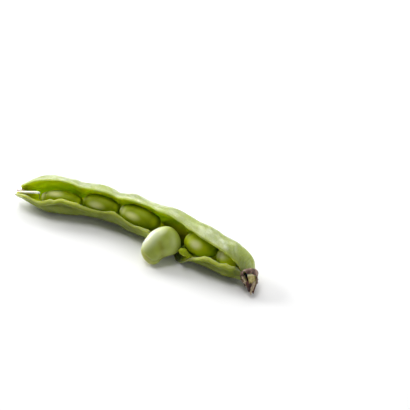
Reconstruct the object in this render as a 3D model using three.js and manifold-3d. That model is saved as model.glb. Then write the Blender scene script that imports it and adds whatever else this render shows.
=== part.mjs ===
// A broad bean pod, split open along its front seam, with its beans, one of them rolled out of the torn seam.
// Millimetres, +Z up. The pod lies on the plane z = 0, with its pointed tip at -X, its stalk at +X and its
// open side towards -Y and up. The origin is under the middle of the whole object.
import * as THREE from "three";
import { mergeVertices } from "three/addons/utils/BufferGeometryUtils.js";
import Module from "manifold-3d";

const wasm = await Module();
wasm.setup();

const POD_LENGTH = 155; // along its spine, without the dried flower at the stalk
const WALL = 1.7; // thickness of a valve half way between its lip and the back seam
const LIP_SHARE = 0.5; // share of that thickness left at the lips
const BED_RIDGE = 1.3; // how far the lining rises between two beans
const WAIST = 0.035; // how much a valve draws in between two beans
const FLESHY_FROM = 146; // distance along the spine where the stalk end begins to fill up
const CLEARANCE = 0.35; // gap between pieces that touch
const TABLE_CUT = 0.1; // depth of the flat faces worn into what lies on the table
const OUTLINE_POINTS = 21; // points of a section from the front lip, round the back seam, to the upper lip
const OPEN_SIDE_LIFT = 38; // degrees that the open side faces up

// Spine of the pod: distance along it, then x, y and z of the section's centre.
const SPINE = [
  [0, -73.5, 0, 6.7],
  [12, -62.5, 1.9, 9.1],
  [30, -44.6, 6.6, 10.2],
  [54, -21, 11.2, 10.8],
  [80, 4.6, 10.6, 10.6],
  [109, 33.1, 5.8, 10.7],
  [134, 57.9, 2.2, 10.2],
  [145, 68.6, 0.8, 9.6],
  [150.5, 74.0, -0.3, 9.2],
  [155, 77.6, -3.2, 8.6],
];

// Sections of the pod: distance along the spine, half depth from the open side to the back seam, half thickness of
// the upper valve and of the front valve, then in degrees round the section how far each valve's lip stands back.
const SECTION = [
  [0, 1.2, 1.2, 1.2, 160, 40],
  [2.2, 3.6, 3.4, 2.6, 140, 26],
  [3.6, 4.9, 4.8, 3.2, 62, 22],
  [5, 5.9, 6.0, 3.9, 46, 21],
  [10, 8.6, 8.7, 6.0, 37, 19],
  [16, 10.0, 10.3, 8.3, 44, 27],
  [22, 10.6, 10.6, 9.6, 47, 27],
  [30, 10.8, 10.3, 9.8, 47, 17],
  [40, 11.0, 9.9, 9.6, 41, 15],
  [52, 11.1, 9.9, 9.6, 38, 26],
  [62, 11.2, 10.1, 9.7, 38, 22],
  [70, 11.3, 10.4, 9.8, 40, 16],
  [80, 11.4, 10.8, 10.0, 42, 26],
  [92, 11.5, 11.2, 10.1, 44, 26],
  [96, 11.6, 11.3, 10.1, 45, 36],
  [101, 11.6, 11.4, 10.1, 45, 52],
  [110, 11.6, 11.4, 10.1, 38, 54],
  [115, 11.4, 11.2, 10.1, 31, 66],
  [120, 11.2, 10.9, 10.1, 24, 62],
  [125, 10.9, 10.6, 10.0, 22, 43],
  [131, 10.5, 10.3, 9.6, 22, 27],
  [142, 8.8, 9.3, 9.2, 17, 17],
  [148, 7.1, 7.9, 9.0, 10, 9],
  [151.5, 5.8, 6.3, 8.0, 8, 7],
  [155, 3.6, 4.0, 4.6, 8, 8],
];

// How flat the front valve is pressed where the bean rolled out: distance along the spine, share.
const PRESSED = [
  [0, 0],
  [94, 0],
  [97.5, 0.75],
  [101, 0.95],
  [112, 0.95],
  [116, 0.75],
  [119.5, 0.25],
  [123, 0],
  [POD_LENGTH, 0],
];

// Where one bean ends and the next begins, along the spine.
const BED_ENDS = [16, 42.3, 66, 93.5, 112.4, 133, 149.5];

// Beans in their beds: distance along the spine, size along the pod, out of the opening and across the valves,
// then how far the bean's centre lies towards the opening and towards the upper valve.
const BEDDED_BEANS = {
  bean_1: { distance: 29.4, size: [24.6, 15.4, 10.4], shift: [0.1, -2.2] },
  bean_2: { distance: 54.2, size: [22.8, 15.8, 11.4], shift: [0.1, -1.4] },
  bean_3: { distance: 79.8, size: [25.4, 16.4, 12.6], shift: [0.2, -0.8] },
  bean_5: { distance: 122.6, size: [19.6, 15.4, 12.4], shift: [0.2, -0.4] },
  bean_6: { distance: 141.2, size: [15.0, 11.6, 10.6], shift: [0.2, -0.4] },
};

// The bean that rolled out stands on its scarred end and leans back into the pod.
const LOOSE_BEAN = {
  name: "bean_4",
  centre: [26.4, -5.9, 9.1],
  size: [23.2, 18.4, 12],
  length: [0.475, 0.705, 0.527], // direction from the scarred end to the other end
  face: [0.358, -0.702, 0.616], // direction out of the broad face
};

// Stalk end: the pod's neck goes into the dried flower cup, and the cup sits on a broken stalk.
const CUP_AXIS = { from: [77.4, -1.9, 9.2], direction: [0.468, -0.69, -0.556] };
const CUP_OUTLINE = [
  [0, 0],
  [4.5, 0],
  [4.9, 0.7],
  [4.9, 2.4],
  [4.4, 4.4],
  [3.8, 6.0],
  [0, 6.3],
];
const STALK_OUTLINE = [
  [0, 3.6],
  [2.6, 3.6],
  [3.0, 5.0],
  [2.9, 8.4],
  [2.5, 11.2],
  [1.9, 13.2],
  [0, 13.8],
];

// The stalk that carried the loose bean, left on the front lip as a knob.
const BEAN_STALK = {
  from: [37.0, -5.6, 9.8],
  to: [45.6, -5.0, 7.2],
  outline: [
    [0, 0],
    [1.5, 0.3],
    [2.7, 1.6],
    [2.9, 3.2],
    [2.2, 4.8],
    [1.3, 6.0],
    [1.0, 7.4],
    [0.8, 8.8],
    [0, 8.8],
  ],
};

// The white thread that peeled off the seam, from the tip to the first bean's bed.
const SEAM_THREAD = {
  radius: 0.5,
  route: [
    [-72.2, -1.2, 9.7],
    [-69.4, -2.0, 11.2],
    [-65.4, -2.8, 12.8],
    [-60.3, -3.0, 14.2],
    [-56.6, -3.2, 14.6],
    [-55.0, -3.8, 13.6],
    [-54.8, -4.2, 12.4],
  ],
};

// Smooth values between the rows of a table whose first column is the distance.
function along(table, distance) {
  const last = table.length - 1;
  const at = THREE.MathUtils.clamp(distance, table[0][0], table[last][0]);
  let row = 0;
  while (row < last - 1 && table[row + 1][0] <= at) row += 1;
  const span = table[row + 1][0] - table[row][0];
  const share = (at - table[row][0]) / span;
  const slope = (index, column) => {
    const before = table[Math.max(index - 1, 0)];
    const after = table[Math.min(index + 1, last)];
    return (after[column] - before[column]) / (after[0] - before[0]);
  };
  const blend = (value, column) =>
    (2 * share ** 3 - 3 * share ** 2 + 1) * value +
    (share ** 3 - 2 * share ** 2 + share) * span * slope(row, column) +
    (3 * share ** 2 - 2 * share ** 3) * table[row + 1][column] +
    (share ** 3 - share ** 2) * span * slope(row + 1, column);
  return table[row].slice(1).map((value, index) => blend(value, index + 1));
}

// Centre of a section, the level direction along the pod and the level direction out of its front.
function spineAt(distance) {
  const centre = new THREE.Vector3(...along(SPINE, distance));
  const before = new THREE.Vector3(...along(SPINE, distance - 0.5));
  const forward = new THREE.Vector3(...along(SPINE, distance + 0.5)).sub(before).setZ(0).normalize();
  const level = new THREE.Vector3(forward.y, -forward.x, 0);
  return { centre, forward, level };
}

// Directions out of the opening and towards the upper valve.
function openingAt(distance) {
  const { centre, forward, level } = spineAt(distance);
  const lift = THREE.MathUtils.degToRad(OPEN_SIDE_LIFT);
  const out = level.clone().multiplyScalar(Math.cos(lift)).setZ(Math.sin(lift));
  const up = level.clone().multiplyScalar(-Math.sin(lift)).setZ(Math.cos(lift));
  return { centre, forward, out, up };
}

// 1 where two beds meet, falling to 0 within the given reach.
function nearBedEnd(distance, reach) {
  return Math.max(...BED_ENDS.map((end) => Math.exp(-(((distance - end) / reach) ** 2))));
}

// Outer outline of a section as [level, height] from its centre: front lip, bottom, back seam, top, upper lip.
function outerOutline(distance, grow = 0) {
  const [depth, upper, front, upperLip, frontLip] = along(SECTION, distance);
  const lift = THREE.MathUtils.degToRad(OPEN_SIDE_LIFT);
  const swell = 1 - WAIST * nearBedEnd(distance, 5);
  const backSeam = (OUTLINE_POINTS - 1) / 2;
  const points = [];
  for (let index = 0; index < OUTLINE_POINTS; index += 1) {
    const share = index / backSeam - 1;
    const lip = THREE.MathUtils.degToRad(share > 0 ? upperLip : frontLip);
    const angle = Math.PI - (Math.PI - lip) * share;
    const half = share > 0 ? upper : front;
    const point = new THREE.Vector2((depth + grow) * Math.cos(angle), (half * swell + grow) * Math.sin(angle));
    points.push(point.rotateAround(new THREE.Vector2(), lift));
  }
  return pressFlat(points, along(PRESSED, distance)[0]);
}

// Unrolls what rises from the bottom to the front lip onto the table, by the given share.
function pressFlat(points, share) {
  const pressed = points.map((point) => point.clone());
  for (let index = (points.length - 1) / 2 - 1; index >= 0; index -= 1) {
    const step = points[index].clone().sub(points[index + 1]);
    const rise = Math.max(0, step.angle() > Math.PI ? 0 : step.angle());
    step.rotateAround(new THREE.Vector2(), -share * rise);
    pressed[index] = pressed[index + 1].clone().add(step);
  }
  return pressed;
}

// The outer outline moved inwards by the wall's thickness.
function innerOutline(outer, distance) {
  const [depth, upper] = along(SECTION, distance);
  const flesh = THREE.MathUtils.smoothstep(distance, FLESHY_FROM, POD_LENGTH);
  const wall = Math.min(WALL, 0.25 * Math.min(depth, upper));
  const backSeam = (outer.length - 1) / 2;
  return outer.map((point, index) => {
    const before = outer[Math.max(index - 1, 0)];
    const after = outer[Math.min(index + 1, outer.length - 1)];
    const inwards = new THREE.Vector2(after.y - before.y, before.x - after.x).normalize();
    const body = Math.sqrt(Math.max(0, 1 - Math.abs(index / backSeam - 1) ** 4));
    const lining = wall * (LIP_SHARE + (1 - LIP_SHARE) * body) + BED_RIDGE * body * nearBedEnd(distance, 2);
    const filled = 0.8 * Math.min(depth, upper) * body;
    return point.clone().addScaledVector(inwards, THREE.MathUtils.lerp(lining, Math.max(lining, filled), flesh));
  });
}

// Joins loops of points, all with the same count, into one closed surface, with the given faces on both ends.
function loft(loops, capFaces) {
  const count = loops[0].length;
  const faces = [];
  for (let ring = 0; ring < loops.length - 1; ring += 1) {
    for (let index = 0; index < count; index += 1) {
      const here = ring * count + index;
      const next = ring * count + ((index + 1) % count);
      faces.push(here, next, next + count, here, next + count, here + count);
    }
  }
  const lastRing = (loops.length - 1) * count;
  for (const [a, b, c] of capFaces) {
    faces.push(c, b, a, lastRing + a, lastRing + b, lastRing + c);
  }
  const geometry = new THREE.BufferGeometry();
  const positions = loops.flat().flatMap((point) => point.toArray());
  geometry.setAttribute("position", new THREE.Float32BufferAttribute(positions, 3));
  geometry.setIndex(faces);
  return geometry;
}

function inSpace(distance, outline) {
  const { centre, level } = spineAt(distance);
  return outline.map((point) => centre.clone().addScaledVector(level, point.x).setZ(centre.z + point.y));
}

// Distances of the pod's sections: closer together at the tip and along the torn seam.
function sectionDistances() {
  const distances = [];
  let distance = 0;
  while (distance < POD_LENGTH - 1) {
    distances.push(distance);
    if (distance < 6) distance += 0.9;
    else distance += distance > 90 && distance < 124 ? 1.6 : 2.6;
  }
  return [...distances, POD_LENGTH];
}

function podGeometry() {
  const loops = sectionDistances().map((distance) => {
    const outer = outerOutline(distance);
    return inSpace(distance, [...outer, ...innerOutline(outer, distance).reverse()]);
  });
  const caps = [];
  for (let index = 0; index < OUTLINE_POINTS - 1; index += 1) {
    const opposite = 2 * OUTLINE_POINTS - 1 - index;
    caps.push([index, index + 1, opposite - 1], [index, opposite - 1, opposite]);
  }
  return loft(loops, caps);
}

// The pod's neck as a full solid, a little larger, to cut the flower cup and the stalk with.
function neckGeometry() {
  const loops = [];
  for (let distance = 141; distance <= POD_LENGTH + 0.1; distance += 2) {
    loops.push(inSpace(distance, outerOutline(distance, CLEARANCE)));
  }
  const { forward } = spineAt(POD_LENGTH);
  loops.push(loops.at(-1).map((point) => point.clone().addScaledVector(forward, CLEARANCE)));
  const caps = Array.from({ length: OUTLINE_POINTS - 2 }, (_, index) => [0, index + 1, index + 2]);
  return loft(loops, caps);
}

// A bean with its length along X, its scarred end at -X, its width along Y and its thickness along Z.
function beanGeometry([length, width, thickness], grow = 0) {
  const geometry = new THREE.SphereGeometry(1, 20, 12);
  geometry.rotateX(Math.PI / 2);
  const place = geometry.getAttribute("position");
  const fullness = 2.35; // 2 is an ellipse, more is squarer
  for (let index = 0; index < place.count; index += 1) {
    const [x, y, z] = [place.getX(index), place.getY(index), place.getZ(index)];
    const round = Math.hypot(x, y);
    const square = (Math.abs(x) ** fullness + Math.abs(y) ** fullness) ** (1 / fullness);
    const out = square > 1e-6 ? round / square : 1;
    const dent = 0.05 * (1 - x * x); // the side with the scar is a little hollow
    place.setXYZ(
      index,
      x * out * (length / 2 + grow),
      (y * out - dent) * (width / 2 + grow),
      z * (thickness / 2 + grow),
    );
  }
  return geometry;
}

// Places a geometry whose X, Y and Z turn into the given directions.
function placed(geometry, centre, xAxis, yAxis, zAxis) {
  const turn = new THREE.Matrix4().makeBasis(xAxis, yAxis, zAxis);
  return geometry.applyMatrix4(turn.setPosition(centre));
}

function beddedBean({ distance, size, shift }, grow = 0) {
  const { centre, forward, out, up } = openingAt(distance);
  const middle = centre.addScaledVector(out, shift[0]).addScaledVector(up, shift[1]);
  return placed(beanGeometry(size, grow), middle, forward, out.clone().negate(), up);
}

function looseBean(grow = 0) {
  const length = new THREE.Vector3(...LOOSE_BEAN.length).normalize();
  const face = new THREE.Vector3(...LOOSE_BEAN.face);
  const width = new THREE.Vector3().crossVectors(face, length).normalize();
  face.crossVectors(length, width);
  return placed(beanGeometry(LOOSE_BEAN.size, grow), new THREE.Vector3(...LOOSE_BEAN.centre), length, width, face);
}

// A turned shape: the outline is [radius, distance] along the axis from a point.
function turned(outline, from, direction, segments) {
  const profile = outline.map(([radius, distance]) => new THREE.Vector2(radius, distance));
  const geometry = new THREE.LatheGeometry(profile, segments);
  const axis = new THREE.Vector3(...direction).normalize();
  const turn = new THREE.Quaternion().setFromUnitVectors(new THREE.Vector3(0, 1, 0), axis);
  return geometry.applyQuaternion(turn).translate(...from);
}

function threadGeometry() {
  const curve = new THREE.CatmullRomCurve3(SEAM_THREAD.route.map((point) => new THREE.Vector3(...point)));
  const section = new THREE.Shape().absarc(0, 0, SEAM_THREAD.radius, 0, 2 * Math.PI);
  return new THREE.ExtrudeGeometry(section, { extrudePath: curve, steps: 24, curveSegments: 4 });
}

// A closed geometry as a manifold-3d solid.
function solid(geometry) {
  const bare = geometry.clone();
  bare.deleteAttribute("normal");
  bare.deleteAttribute("uv");
  const merged = mergeVertices(bare, 1e-4);
  const mesh = new wasm.Mesh({
    numProp: 3,
    vertProperties: merged.getAttribute("position").array,
    triVerts: new Uint32Array(merged.getIndex().array),
  });
  return new wasm.Manifold(mesh);
}

function geometryOf(manifold) {
  const mesh = manifold.getMesh();
  const geometry = new THREE.BufferGeometry();
  geometry.setAttribute("position", new THREE.BufferAttribute(mesh.vertProperties, 3));
  geometry.setIndex(new THREE.BufferAttribute(mesh.triVerts, 1));
  return geometry;
}

// Cuts away everything below the table, so that the piece rests on a flat face.
function rested(manifold) {
  const table = new THREE.BoxGeometry(400, 400, 20).translate(0, 0, TABLE_CUT - 10);
  return manifold.subtract(solid(table));
}

const group = new THREE.Group();

function add(name, manifold, material) {
  const mesh = new THREE.Mesh(geometryOf(manifold), material);
  mesh.name = name;
  group.add(mesh);
}

const podGreen = new THREE.MeshStandardMaterial({ color: 0x93ac4a, roughness: 0.55, metalness: 0 });
const beanGreen = new THREE.MeshStandardMaterial({ color: 0xa9bb72, roughness: 0.35, metalness: 0 });
const threadWhite = new THREE.MeshStandardMaterial({ color: 0xe9ead2, roughness: 0.6, metalness: 0 });
const driedBrown = new THREE.MeshStandardMaterial({ color: 0x5a4038, roughness: 0.8, metalness: 0 });
const stalkYellow = new THREE.MeshStandardMaterial({ color: 0xc9c184, roughness: 0.7, metalness: 0 });

// The beans press their beds into the lining, and the loose bean keeps clear of the torn lip.
let pod = solid(podGeometry()).subtract(solid(looseBean(CLEARANCE)));
for (const bean of Object.values(BEDDED_BEANS)) {
  pod = pod.subtract(solid(beddedBean(bean, CLEARANCE)));
}

const beanStalkAxis = new THREE.Vector3(...BEAN_STALK.to).sub(new THREE.Vector3(...BEAN_STALK.from)).toArray();
pod = pod.add(solid(turned(BEAN_STALK.outline, BEAN_STALK.from, beanStalkAxis, 10)));
const neck = solid(neckGeometry());
const stalk = solid(turned(STALK_OUTLINE, CUP_AXIS.from, CUP_AXIS.direction, 12)).subtract(neck);
const stalkSpace = STALK_OUTLINE.map(([radius, distance]) => [radius && radius + CLEARANCE, distance]);
stalkSpace[0][1] -= CLEARANCE;
stalkSpace[1][1] -= CLEARANCE;
const cup = solid(turned(CUP_OUTLINE, CUP_AXIS.from, CUP_AXIS.direction, 20))
  .subtract(neck)
  .subtract(solid(turned(stalkSpace, CUP_AXIS.from, CUP_AXIS.direction, 12)));

add("pod", rested(pod), podGreen);
for (const [name, bean] of Object.entries(BEDDED_BEANS)) {
  add(name, solid(beddedBean(bean)), beanGreen);
}
add(LOOSE_BEAN.name, rested(solid(looseBean())), beanGreen);
add("seam_thread", solid(threadGeometry()), threadWhite);
add("flower_cup", rested(cup), driedBrown);
add("stalk", rested(stalk), stalkYellow);

// The origin goes under the middle of the whole object.
const box = new THREE.Box3().setFromObject(group);
const middle = box.getCenter(new THREE.Vector3());
group.position.set(-middle.x, -middle.y, -box.min.z);

export default group;
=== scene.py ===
# A broad bean pod, split open along its seam, with its beans in their beds and one that rolled out of the
# torn lip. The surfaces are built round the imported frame, in millimetres in the pod's own frame: the tip at
# -X, the stalk at +X, the open side towards -Y and up. A distance is measured along the pod's spine from its
# tip. A share of a section runs from -1 at the front lip, past 0 at the back seam, to 1 at the upper lip.
import math

import bpy
import numpy as np
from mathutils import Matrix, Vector, noise


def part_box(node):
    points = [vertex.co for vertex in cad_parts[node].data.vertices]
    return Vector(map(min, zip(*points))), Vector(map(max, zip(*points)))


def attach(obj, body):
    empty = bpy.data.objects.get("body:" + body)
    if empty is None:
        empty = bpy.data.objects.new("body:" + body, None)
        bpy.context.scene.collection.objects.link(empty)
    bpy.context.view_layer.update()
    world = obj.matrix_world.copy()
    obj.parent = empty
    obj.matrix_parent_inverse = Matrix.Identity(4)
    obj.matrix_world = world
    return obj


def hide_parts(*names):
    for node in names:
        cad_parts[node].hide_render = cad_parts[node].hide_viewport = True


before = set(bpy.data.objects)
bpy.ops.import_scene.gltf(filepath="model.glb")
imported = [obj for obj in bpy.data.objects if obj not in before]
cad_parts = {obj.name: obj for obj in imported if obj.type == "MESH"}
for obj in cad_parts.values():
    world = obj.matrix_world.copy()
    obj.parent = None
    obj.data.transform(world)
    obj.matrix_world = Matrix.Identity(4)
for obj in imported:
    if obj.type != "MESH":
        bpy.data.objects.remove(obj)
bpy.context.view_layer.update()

MM = 0.001
POD_LENGTH = 155.0
POD_LOW_CORNER = (-73.69, -8.28, 0.1)  # lowest corner of the pod's solid in the pod's own frame
OPEN_SIDE_LIFT = 38.0  # degrees that the open side faces up
TABLE = 0.1  # height of the table in the pod's own frame
TURNING = 3.0  # reach over which the sections follow a bend of the spine
WAIST = 0.012  # how much a valve draws in between two beans
WAIST_REACH = 5
UPWARDS = np.array((0, 0, 1))

# Spine of the pod: distance along it, then x, y and z of the section's centre.
SPINE = [
    (0, -73.5, 0, 6.7),
    (12, -62.5, 1.9, 9.1),
    (30, -44.6, 6.6, 10.2),
    (54, -21, 11.2, 10.8),
    (80, 4.6, 10.6, 10.6),
    (109, 33.1, 5.8, 10.7),
    (134, 57.9, 2.2, 10.2),
    (145, 68.6, 0.8, 9.6),
    (150.5, 74.0, -0.3, 9.2),
    (155, 78.3, -4.2, 8.0),
]

# Sections: distance, half depth, half thickness of the upper and of the front valve, and in degrees round the
# section how far the upper and the front lip stand back from the middle of the opening.
SECTION = [
    (0, 1.2, 1.2, 1.1, 160, 42),
    (2.2, 3.6, 3.5, 2.5, 142, 30),
    (3.6, 4.9, 4.9, 3.0, 66, 30),
    (5, 5.9, 6.0, 3.5, 55, 30),
    (10, 8.6, 8.2, 5.7, 49, 23),
    (16, 10.0, 10.5, 8.3, 50, 40),
    (20, 10.4, 11.4, 9.8, 48, 33),
    (24, 10.6, 11.5, 10.4, 49, 27),
    (30, 10.8, 10.8, 10.5, 55, 20),
    (36, 10.9, 10.2, 10.5, 52, 24),
    (41, 11.0, 9.4, 10.4, 46, 33),
    (52, 11.1, 9.7, 10.1, 41, 44),
    (58, 11.2, 9.1, 10.1, 46, 42),
    (63, 11.2, 7.9, 10.1, 52, 36),
    (67, 11.3, 8.9, 10.3, 42, 29),
    (72, 11.3, 10.1, 10.7, 42, 34),
    (80, 11.4, 9.9, 10.9, 49, 43),
    (88, 11.5, 9.9, 10.7, 54, 39),
    (93, 11.5, 10.9, 10.4, 46, 35),
    (97, 11.6, 11.8, 10.3, 44, 42),
    (100.3, 11.6, 12.0, 10.3, 44, 60),
    (102.8, 11.6, 12.1, 10.3, 44, 92),
    (108, 11.6, 11.8, 10.3, 42, 94),
    (112, 11.5, 11.5, 10.3, 40, 80),
    (115, 11.4, 11.2, 10.4, 36, 77),
    (120, 11.2, 11.1, 10.5, 33, 64),
    (125, 10.9, 11.0, 10.5, 28, 50),
    (131, 10.5, 10.1, 10.1, 27, 34),
    (142, 8.8, 9.5, 10.0, 17, 26),
    (148, 7.1, 7.9, 8.7, 6, 22),
    (151.5, 5.8, 6.3, 8.0, 2, 18),
    (155, 3.6, 4.2, 4.7, 2, 14),
]

# How glossy the skin is along the pod, which also sets how much pale bloom is painted on as highlight:
# distance, share.
GLOSS = [
    (0, 1), (40, 1), (48, 0.7), (58, 0.4), (64, 0.9), (88, 0.9), (98, 0.6), (109, 0.15), (115, 0.15),
    (122, 0.6), (126, 0.65), (130, 0.4), (136, 0.8), (140, 1), (143, 1), (147, 0.35), (155, 0.25),
]

# How flat the front valve is pressed where the bean rolled out: distance, share.
PRESSED = [
    (0, 0), (95.6, 0), (99.2, 0.75), (102, 0.95), (112, 0.95), (116, 0.75), (119.5, 0.25), (123, 0), (155, 0),
]

# Where one bean's bed ends and the next begins, from the tip to the stalk.
BED_ENDS = (16, 42.3, 66, 93.5, 112.4, 133, 149.5)
EMPTY_FROM, EMPTY_TO = BED_ENDS[3:5]  # the ends of the empty bed

# Beans in their beds: distance, size along the pod, out of the opening and across the valves, then how far
# the centre lies towards the opening and towards the upper valve.
BEDDED_BEANS = {
    "bean_1": (29.4, (24.6, 15.4, 10.4), (0.1, -2.2)),
    "bean_2": (54.2, (22.8, 15.8, 11.4), (0.1, -1.4)),
    "bean_3": (79.8, (25.4, 16.4, 12.6), (0.2, -0.8)),
    "bean_5": (122.6, (19.6, 15.4, 12.4), (0.2, -0.4)),
    "bean_6": (141.2, (15.0, 11.6, 10.6), (0.2, -0.4)),
}
EMPTY_BED = (103.0, (19.0, 17.0, 12.4), (0.6, 0.2))  # the bed that the loose bean left, in the same terms

# Painted highlights, as pale patches on a bedded bean's open side: place along and across it, reach in both
# directions, strength.
BEAN_HIGHLIGHTS = {
    "bean_1": [(-3.0, 3.0, 7.0, 2.6, 0.85), (-11.0, 1.0, 4.2, 4.5, 0.75)],
    "bean_2": [(-0.6, -0.8, 6.8, 3.0, 0.72), (-10.5, 0.5, 3.0, 2.2, 0.3)],
    "bean_3": [(-1.0, -0.3, 7.2, 2.8, 0.82), (-8.0, 0.0, 4.6, 2.6, 0.55), (-11.0, 0.8, 3.6, 3.0, 0.7)],
    "bean_5": [(0.2, 0.0, 5.4, 3.4, 1.1), (-8.4, 3.4, 3.2, 2.2, 0.5)],
    "bean_6": [(-3.4, 0.6, 6.4, 3.8, 1.1)],
}

# Beans that the lips close over and shade, painted a brighter green throughout to lift that shade: how much
# brighter.
SHADED_BEANS = {"bean_5": 0.3, "bean_6": 0.55}

# The groove between a bedded bean and the lobe at its scarred end: reach, depth.
GROOVE = (0.9, 0.18)
DEEPER_GROOVES = {"bean_1": (0.5, 0.75)}

LOOSE_CENTRE = (26.4, -5.9, 9.1)
LOOSE_THICKNESS = 12.0
LOOSE_LENGTH = (0.475, 0.705, 0.527)  # direction from the loose bean's scarred end to its other end
LOOSE_FACE = (0.358, -0.702, 0.616)  # direction out of its broad face

# Its outline in its own plane: degrees from the end away from the scar, distance from the centre.
LOOSE_OUTLINE = [
    (-180, 11.7), (-165, 11.6), (-152, 10.9), (-142, 9.6), (-132, 7.7), (-120, 6.8), (-105, 6.8), (-90, 7.4),
    (-70, 9.0), (-55, 10.2), (-40, 10.9), (-25, 11.2), (-10, 11.4), (5, 11.6), (18, 11.7), (30, 11.3),
    (50, 10.2), (67, 9.5), (85, 9.1), (108, 9.1), (129, 9.9), (142, 10.7), (156, 11.3), (180, 11.7),
]

# Where the painted highlight on the loose bean's face is palest, and how far it reaches along each of its
# axes.
HIGHLIGHT_PLACE = (-1.5, 9.5, 2.0)
HIGHLIGHT_REACH = (15.0, 11.0, 9.0)

# Marks on the loose bean's face: the scar, the lips beside it, the fold under it and the edge of its
# cheek. Each has its line, its reach, its depth and whether it is scarred.
LOOSE_MARKS = [
    ("face", [(-9.9, 3.0), (-9.5, 0), (-8.7, -3.2)], 0.2, 0.24, True),
    ("face", [(-9.0, 4.4), (-8.5, 0), (-7.7, -3.6)], 0.55, -0.22, False),
    ("face", [(-9.2, -2.4), (-7.6, -4.2), (-5.2, -5.3), (-3.6, -5.6)], 0.5, 0.4, False),
    ("face", [(-4.2, -7.4), (-2.4, -4.6), (-0.4, -1.4), (1.2, 1.6), (1.8, 3.4)], 1.3, 0.22, False),
]

# Where the flower cup begins on the pod's neck, and which way the stalk points from there.
CUP_FROM = (77.4, -1.9, 9.2)
CUP_DIRECTION = (0.468, -0.69, -0.556)

# The seam's white fibre, the withered style beside it and the style's dark nub at the tip.
THREAD_ROUTE = [
    (-71.8, -1.1, 9.1), (-68.6, -1.7, 10.5), (-65.0, -2.5, 12.1), (-61.0, -3.0, 13.7), (-57.5, -2.9, 14.8),
    (-55.0, -2.9, 15.2), (-54.3, -3.4, 14.9), (-53.6, -4.4, 13.9), (-53.0, -5.3, 13.0),
]
STYLE_ROUTE = [(-72.0, -0.9, 10.0), (-69.6, -1.2, 11.1), (-66.4, -1.5, 12.6)]
NUB_CENTRE = (-73.2, -0.3, 5.9)
NUB_SIZE = (1.05, 0.6, 0.6)

# The little stalk that held the loose bean: its route from its head to the lip, then its radius at each
# share of the way.
HOLDER_ROUTE = [
    (37.6, -5.9, 10.5), (39.6, -5.8, 10.2), (41.8, -5.6, 9.3), (43.8, -5.4, 8.2), (46.4, -5.0, 7.0),
]
HOLDER_RADII = [
    (0, 0.5), (0.07, 1.35), (0.2, 1.9), (0.34, 1.85), (0.48, 1.4), (0.65, 1.0), (0.85, 0.9), (1, 1.1),
]


# ---- numbers


def along(table, distances):
    """Smooth values between the rows of a table whose first column is the distance."""
    rows = np.array(table, float)
    at, values = rows[:, 0], rows[:, 1:]
    number = np.arange(len(at))
    before, after = np.maximum(number - 1, 0), np.minimum(number + 1, len(at) - 1)
    slopes = (values[after] - values[before]) / (at[after] - at[before])[:, None]
    place = np.clip(np.asarray(distances, float), at[0], at[-1])
    row = np.clip(np.searchsorted(at, place, side="right") - 1, 0, len(at) - 2)
    span = (at[row + 1] - at[row])[..., None]
    share = (place - at[row])[..., None] / span
    return (
        (2 * share**3 - 3 * share**2 + 1) * values[row]
        + (share**3 - 2 * share**2 + share) * span * slopes[row]
        + (3 * share**2 - 2 * share**3) * values[row + 1]
        + (share**3 - share**2) * span * slopes[row + 1]
    )


def unit(vectors):
    vectors = np.asarray(vectors, float)
    return vectors / np.linalg.norm(vectors, axis=-1, keepdims=True)


def smooth_step(low, high, values):
    """From 0 at low to 1 at high, with soft ends."""
    share = np.clip((values - low) / (high - low), 0, 1)
    return share * share * (3 - 2 * share)


def hump(values, centre, reach):
    """1 at the centre, falling off as a bell of that reach."""
    return np.exp(-(((values - centre) / reach) ** 2))


def ripple(points, size, seed=0):
    """Smooth noise from -1 to 1 at each point, with features about as large as size."""
    flat = np.asarray(points, float).reshape(-1, np.shape(points)[-1])
    if flat.shape[1] < 3:
        flat = np.pad(flat, ((0, 0), (0, 3 - flat.shape[1])))
    places = (flat / size + 17.3 * seed).tolist()
    return np.array([noise.noise(Vector(place)) for place in places]).reshape(np.shape(points)[:-1])


def blurred(field):
    """The field with every value averaged with its neighbours."""
    padded = np.pad(field, 1, mode="edge")
    return (padded[:-2, 1:-1] + padded[2:, 1:-1] + padded[1:-1, :-2] + padded[1:-1, 2:] + 4 * field) / 8


def pod_frame(distances):
    """Centre of each section, and the directions forward along the pod and level out of its front."""
    distances = np.asarray(distances, float)
    centre = along(SPINE, distances)
    forward = along(SPINE, distances + TURNING) - along(SPINE, distances - TURNING)
    forward[..., 2] = 0
    forward = unit(forward)
    return centre, forward, np.cross(forward, UPWARDS)


def opening_frame(distance):
    """As pod_frame, with the directions out of the opening and towards the upper valve."""
    centre, forward, level = (part[0] for part in pod_frame([distance]))
    lift = math.radians(OPEN_SIDE_LIFT)
    out = level * math.cos(lift) + UPWARDS * math.sin(lift)
    up = level * -math.sin(lift) + UPWARDS * math.cos(lift)
    return centre, forward, out, up


# ---- meshes

pod_origin = np.array(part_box("pod")[0]) / MM - np.array(POD_LOW_CORNER)


def add_object(name, data):
    made = bpy.data.objects.new(name, data)
    bpy.context.scene.collection.objects.link(made)
    return made


def add_mesh(name, points, faces, material, slot, replaces=(), **attributes):
    """A smooth mesh from points in millimetres, none of them under the table, riding on the frame."""
    points = np.array(points, float).reshape(-1, 3)
    points[:, 2] = np.maximum(points[:, 2], TABLE)
    mesh = bpy.data.meshes.new(name)
    mesh.from_pydata(((points + pod_origin) * MM).tolist(), [], faces)
    for key, values in attributes.items():
        values = np.asarray(values, np.float32)
        kind, field = ("FLOAT", "value") if values.ndim == 1 else ("FLOAT_VECTOR", "vector")
        mesh.attributes.new(key, kind, "POINT").data.foreach_set(field, values.ravel())
    mesh.polygons.foreach_set("use_smooth", [True] * len(mesh.polygons))
    mesh.materials.append(material)
    mesh.update()
    piece = add_object(name, mesh)
    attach(piece, "root")
    if replaces:
        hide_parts(*replaces)


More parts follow.
